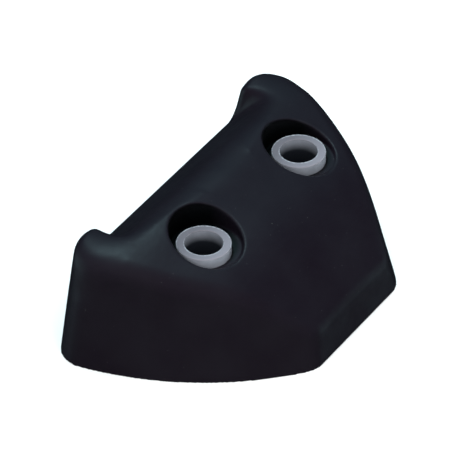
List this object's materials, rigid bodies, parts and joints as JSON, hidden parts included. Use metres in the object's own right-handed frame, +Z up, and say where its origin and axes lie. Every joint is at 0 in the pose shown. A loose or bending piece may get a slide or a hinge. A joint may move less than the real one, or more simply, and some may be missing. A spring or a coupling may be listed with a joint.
{
  "type": "rubber speed bump",
  "caption": "Tapered rubber end module of a bolt-down road speed bump, with steel anchor sleeves in deep recesses and a notched mating face.",
  "frame": {"origin": "centre of the footprint, on the road", "axes": "+Z up from the road, +Y towards the flat face that meets the next module, -Y towards the low nose, +X across the module"},
  "size_m": [0.1944, 0.1148, 0.0646],
  "materials": {
    "rubber": "satin moulded rubber",
    "steel": "satin zinc-plated"
  },
  "bodies": {
    "root": {"rubber_body": "rubber", "sleeve_left": "steel", "sleeve_right": "steel", "collar_left": "steel", "collar_right": "steel"}
  },
  "joints": []
}
